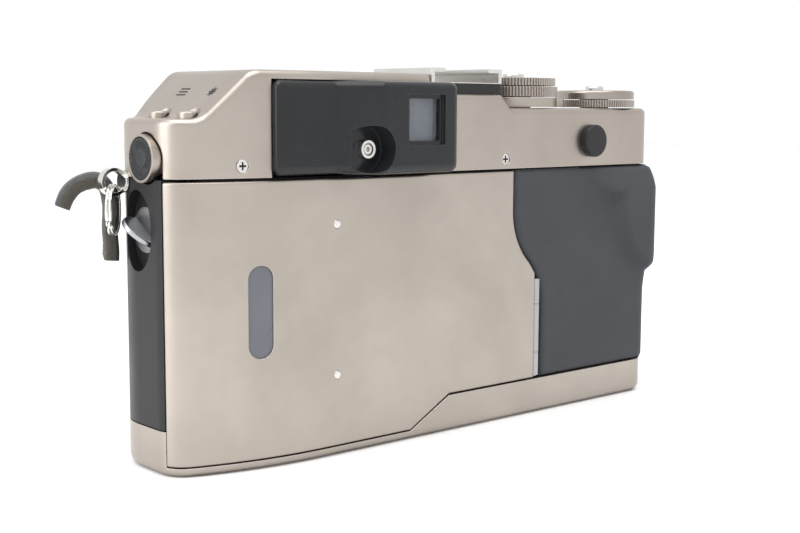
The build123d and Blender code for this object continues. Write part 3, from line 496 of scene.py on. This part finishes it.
def roll(distance, radius):
    """How far a rounded edge falls back at a distance from the end of the face."""
    part = 1 - min(distance / radius, 1.0)
    return radius * (1 - math.sqrt(1 - part ** 2))


def rear_grip():
    """The rubber round the grip end, with its thumb rest and the ridge over it."""
    low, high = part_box("rear_grip")
    bottom, top = low.z / MM, high.z / MM
    far, side_end = low.x / MM, low.y / MM
    relief = high.y / MM - REAR_FACE
    inner_bend = GRIP_INNER_END + GRIP_INNER_CORNER
    inner_y = GRIP_INNER - GRIP_INNER_CORNER
    low_in, *low_span = GRIP_NARROW_LOW
    top_in, *top_span = GRIP_NARROW_TOP
    rows, flat, bend, side = 72, 56, 10, 6
    outer, inner = [], []
    for row in range(rows):
        z = bottom + (top - bottom) * row / (rows - 1)
        ends = roll(min(z - bottom, top - z), GRIP_EDGE)
        wide = far + low_in * (1 - step_up(low_span, z)) + top_in * step_up(top_span, z)
        bend_x = wide + GRIP_CORNER
        start = seam_x(z)
        for column in range(flat):
            x = start + (bend_x - start) * column / flat
            y = REAR_FACE + relief * grip_height(x, z, top) - ends - roll(start - x, GRIP_SEAM_EDGE)
            outer.append((x, y, z))
            inner.append((start + (inner_bend - start) * column / flat, GRIP_INNER, z))
        y = REAR_FACE + relief * grip_height(bend_x, z, top) - GRIP_CORNER
        for column in range(bend):
            angle = math.pi / 2 * column / bend
            reach = GRIP_CORNER - ends
            outer.append((bend_x - reach * math.sin(angle), y + reach * math.cos(angle), z))
            inner.append((inner_bend - GRIP_INNER_CORNER * math.sin(angle),
                          inner_y + GRIP_INNER_CORNER * math.cos(angle), z))
        for column in range(side + 1):
            outer.append((wide + ends, y + (side_end - y) * column / side, z))
            inner.append((GRIP_INNER_END, inner_y + (side_end - inner_y) * column / side, z))
    columns = flat + bend + side + 1
    faces = grid_faces(rows, columns) + grid_faces(rows, columns, len(outer))
    faces += rim_faces(rows, columns, 0, len(outer))
    piece("grip_rubber", outer + inner, faces, "rubber", "root", ["rear_grip"])


# ---------------------------------------------------------------- ring and leather tab
def wire_ring():
    """A split ring of two turns of round wire, with a step from one turn to the other."""
    low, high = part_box("split_ring")
    centre = (low + high) / 2 / MM
    radius = (high.z - low.z) / 2 / MM - CAD_WIRE
    axis = Vector((math.cos(RING_TURN), math.sin(RING_TURN), 0))
    across = Vector((-math.sin(RING_TURN), math.cos(RING_TURN), 0))
    path = []
    steps = 144
    for step in range(steps + 1):
        turn = 4 * math.pi * step / steps + RING_END
        shift = WIRE * (2 * step_up(RING_STEP, step / steps) - 1)
        out = across * math.sin(turn) + Vector((0, 0, math.cos(turn)))
        path.append(centre + axis * shift + out * radius)
    points, faces = tube(path, WIRE)
    piece("ring_wire", points, faces, "bright_metal", "strap_ring", ["split_ring"])


def smooth_line(points, steps):
    """A rounded line through the points."""
    out = []
    for index in range(len(points) - 1):
        p0, p1 = points[max(index - 1, 0)], points[index]
        p2, p3 = points[index + 1], points[min(index + 2, len(points) - 1)]
        for step in range(steps):
            t = step / steps
            out.append(tuple(
                0.5 * (2 * b + (c - a) * t + (2 * a - 5 * b + 4 * c - d) * t * t
                       + (3 * b - a - 3 * c + d) * t ** 3)
                for a, b, c, d in zip(p0, p1, p2, p3)))
    return out + [tuple(points[-1])]


def leather_tab():
    """The strip of leather folded over beside the ring: smooth outside, rough inside and at the edges."""
    anchor = Vector((*TAB_PLACE, 0))
    turn = Matrix.Rotation(TAB_TURN, 3, "Z")
    line = smooth_line(TAB_LINE, 5)
    columns = 16
    outer, inner = [], []
    for index, (x, z) in enumerate(line):
        x0, z0 = line[max(index - 1, 0)]
        x1, z1 = line[min(index + 1, len(line) - 1)]
        size = math.hypot(x1 - x0, z1 - z0)
        nx, nz = -(z1 - z0) / size, (x1 - x0) / size
        for column in range(columns + 1):
            y = -TAB_WIDTH * column / columns
            edge = min(column, columns - column) / columns * TAB_WIDTH
            half = TAB_THICK / 2 - roll(edge, TAB_EDGE)
            wave = TAB_WAVE * noise.noise(Vector((x * 0.35, y * 0.35, z * 0.25)))
            fray = TAB_FRAY * noise.noise(Vector((x * 2.1, y * 2.1, z * 2.1)))
            for group, reach in ((outer, half + wave), (inner, -half + wave + fray)):
                group.append(anchor + turn @ Vector((x + nx * -reach, y, z + nz * -reach)))
    rows = len(line)
    faces = grid_faces(rows, columns + 1) + grid_faces(rows, columns + 1, len(outer))
    rims = rim_faces(rows, columns + 1, 0, len(outer))
    tab = piece("tab_leather", outer + inner, faces + rims, ("leather", "suede"),
                "strap_ring", ["strap_leather"])
    split = (rows - 1) * columns
    for polygon in tab.data.polygons:
        polygon.material_index = 0 if polygon.index < split else 1


# ---------------------------------------------------------------- small details
def plate(name, outline, place, across, up, thick, finish, body):
    """A thin flat shape given by an outline, standing on a plane."""
    out = across.cross(up)
    points = [place + across * a + up * b + out * h for h in (0.0, thick) for a, b in outline]
    count = len(outline)
    faces = [tuple(range(count)), tuple(range(count, 2 * count))]
    faces += [(i, (i + 1) % count, count + (i + 1) % count, count + i) for i in range(count)]
    piece(name, points, faces, finish, body, smooth=False)


def shade_in_screw_crosses():
    """Painted shade: a thin black cross laid on the floor of each cross recess in the two screws beside the
    eyepiece, standing in for the shade inside the recess.
    """
    arm, half = CROSS_ARM, CROSS_HALF
    cross = [(-half, -arm), (half, -arm), (half, -half), (arm, -half), (arm, half), (half, half),
             (half, arm), (-half, arm), (-half, half), (-arm, half), (-arm, -half), (-half, -half)]
    for index, (x, z, head) in enumerate(CROSS_SCREWS):
        # painted shade: a black cross sunk into the recess, below the head's face
        plate(f"screw_cross_shade_{index}", cross, Vector((x, head - CROSS_DEPTH, z)), Vector((-1, 0, 0)),
              Vector((0, 0, 1)), 0.16, "matte_black", "root")


def deck_marks():
    """Plain marks on the slope above the two buttons: three bars and a star."""
    (x0, z0), (x1, z1) = SLOPE
    up = Vector((x1 - x0, 0, z1 - z0)).normalized()
    across = Vector((0, 1, 0))
    middle = Vector(((x0 + x1) / 2, 0, (z0 + z1) / 2)) - across.cross(up) * MARK_SINK
    for name, button in (("drive_mark", "drive_button"), ("iso_mark", "iso_button")):
        low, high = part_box(button)
        y = (low.y + high.y) / 2 / MM
        place = Vector((middle.x, y, middle.z)) + up * MARK_RISE
        if name == "drive_mark":
            for step in range(3):
                long, wide = BAR
                bar = [(-long, -wide), (long, -wide), (long, wide), (-long, wide)]
                plate(f"{name}_{step}", bar, place + up * (step - 1) * BAR_PITCH, across, up,
                      MARK_THICK, "matte_black", "root")
        else:
            star = []
            for point in range(16):
                angle = math.pi * point / 8
                star.append((STAR[point % 2] * math.cos(angle), STAR[point % 2] * math.sin(angle)))
            plate(name, star, place, across, up, MARK_THICK, "matte_black", "root")


def dial_ticks(node, body, count, inset):
    """Black lines round the top of a dial, every fourth one longer."""
    low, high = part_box(node)
    centre = (low + high) / 2 / MM
    radius = (high.x - low.x) / 2 / MM - inset
    for index in range(count):
        angle = 2 * math.pi * index / count
        out = Vector((math.cos(angle), math.sin(angle), 0))
        across = Vector((-math.sin(angle), math.cos(angle), 0))
        length = TICKS[0] if index % 4 == 0 else TICKS[1]
        bar = [(-TICK_HALF, -length), (TICK_HALF, -length), (TICK_HALF, 0), (-TICK_HALF, 0)]
        place = Vector((centre.x, centre.y, high.z / MM - MARK_SINK)) + out * radius
        name = f"{node}_tick_{index:02d}"
        plate(name, bar, place, -across, out, TICK_THICK, "matte_black", body)


def dioptre_cap():
    """The dial's black face with fine ribs round a smooth middle."""
    low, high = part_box("dioptre_face")
    centre = (low + high) / 2 / MM
    radius = (high.z - low.z) / 2 / MM
    back, front = low.x / MM, high.x / MM
    rings, sides = 14, FACE_RIBS * 6
    middle = front - FACE_DROP
    points = [(back, centre.y, centre.z), (middle, centre.y, centre.z)]
    for ring in range(1, rings + 1):
        part = ring / rings
        for side in range(sides):
            angle = 2 * math.pi * side / sides
            ribs = step_up(RIB_START, part) * (1 - step_up(RIB_END, part))
            wave = 0.5 + 0.5 * math.cos(FACE_RIBS * angle)
            fall = FACE_EDGE_SHARE * roll(radius * (1 - part), FACE_EDGE)
            x = middle - fall + RIB_HEIGHT * ribs * wave
            points.append((x, centre.y + radius * part * math.cos(angle),
                           centre.z + radius * part * math.sin(angle)))
    faces = [(1, 2 + side, 2 + (side + 1) % sides) for side in range(sides)]
    for ring in range(rings - 1):
        for side in range(sides):
            a = 2 + ring * sides + side
            b = 2 + ring * sides + (side + 1) % sides
            faces.append((a, b, b + sides, a + sides))
    base = len(points)
    for side in range(sides):
        angle = 2 * math.pi * side / sides
        points.append((back, centre.y + radius * math.cos(angle), centre.z + radius * math.sin(angle)))
    last = 2 + (rings - 1) * sides
    for side in range(sides):
        ahead = (side + 1) % sides
        faces.append((last + side, last + ahead, base + ahead, base + side))
        faces.append((0, base + ahead, base + side))
    piece("dioptre_ribs", points, faces, "gloss_black", "dioptre_dial", ["dioptre_face"])


# ---------------------------------------------------------------- stage
def floor():
    mesh = bpy.data.meshes.new("floor")
    half = 2.0
    corners = [(-half, -half, 0), (half, -half, 0), (half, half, 0), (-half, half, 0)]
    mesh.from_pydata(corners, [], [(0, 1, 2, 3)])
    plane = bpy.data.objects.new("floor", mesh)
    bpy.context.collection.objects.link(plane)
    paint = Paint("floor_paper")
    fibre = paint.noise(1.5, detail=3.0)
    paint.colour(paint.blend(paint.spread(fibre, 0.0, 1.0), (0.90, 0.90, 0.905), (0.93, 0.93, 0.93)))
    paint.roughness(paint.spread(fibre, 0.55, 0.65))
    paint.value("Specular IOR Level", 0.3)
    mesh.materials.append(paint.material)


def softbox(name, place, target, size, power):
    data = bpy.data.lights.new(name, "AREA")
    data.shape = "RECTANGLE"
    data.size, data.size_y = size
    data.energy = power
    light = bpy.data.objects.new(name, data)
    light.location = place
    light.rotation_euler = (Vector(target) - Vector(place)).to_track_quat("-Z", "Y").to_euler()
    bpy.context.collection.objects.link(light)


def lights():
    world = bpy.data.worlds.new("studio")
    world.use_nodes = True
    background = world.node_tree.nodes["Background"]
    background.inputs["Color"].default_value = (1.0, 1.0, 1.0, 1.0)
    background.inputs["Strength"].default_value = 1.05
    bpy.context.scene.world = world
    softbox("over", (0.10, 0.15, 0.9), (0, 0, 0.03), (0.9, 0.9), 6.0)
    softbox("left", (0.75, -0.05, 0.35), (0, 0, 0.03), (0.5, 0.7), 3.0)


def camera():
    data = bpy.data.cameras.new("photo_view")
    data.lens = CAMERA_LENS
    data.sensor_width = 36.0
    data.clip_start = 0.01
    view = bpy.data.objects.new("photo_view", data)
    turn = (CAMERA_TARGET - CAMERA_PLACE).to_track_quat("-Z", "Y").to_matrix().to_4x4()
    view.matrix_world = Matrix.Translation(CAMERA_PLACE) @ turn @ Matrix.Rotation(CAMERA_ROLL, 4, "Z")
    bpy.context.collection.objects.link(view)
    bpy.context.scene.camera = view


# ---------------------------------------------------------------- the scene
camera()
lights()
floor()
bpy.context.scene.view_settings.view_transform = "Standard"
finish_cad_nodes()
rear_grip()
wire_ring()
leather_tab()
# painted shade in the cross recesses of the two screws
shade_in_screw_crosses()
deck_marks()
dioptre_cap()
dial_ticks("speed_dial", "speed_dial", 20, 0.9)
